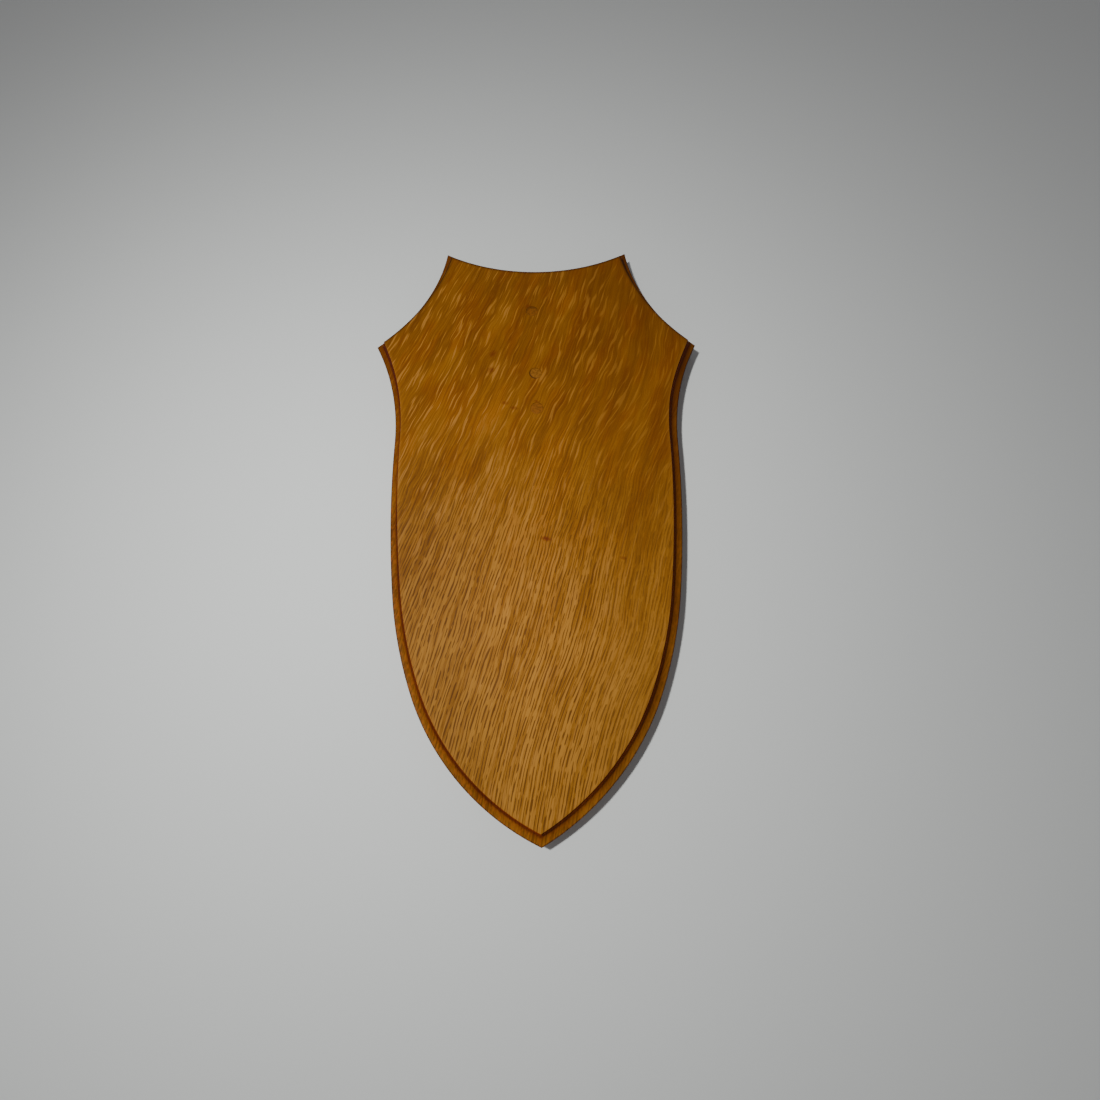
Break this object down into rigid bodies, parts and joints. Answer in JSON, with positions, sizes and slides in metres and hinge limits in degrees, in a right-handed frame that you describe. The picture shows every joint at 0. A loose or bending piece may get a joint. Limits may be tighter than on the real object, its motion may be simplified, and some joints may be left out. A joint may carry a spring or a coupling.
{
  "type": "wooden mounting shield",
  "caption": "Flat oak board in the outline of a heraldic shield, with a hollow-moulded edge and flush round plugs, to mount a trophy or badge on.",
  "frame": {"origin": "on the flat back, at the middle of the board's length and width", "axes": "+Z out of the face, +Y along the board towards the two horns, +X to the right when the face is seen with the horns up; the pointed tip is at -Y"},
  "size_m": [0.2156, 0.38, 0.019],
  "materials": {
    "board_oak": "golden brown varnished oak, quarter-sawn, with light ray flecks and dark open pores, satin sheen",
    "plug_oak": "varnished oak plug, a little redder and darker than the board"
  },
  "bodies": {
    "root": {"shield_board": "board_oak", "upper_plug": "plug_oak", "middle_plug": "plug_oak", "lower_plug": "plug_oak"}
  },
  "joints": []
}
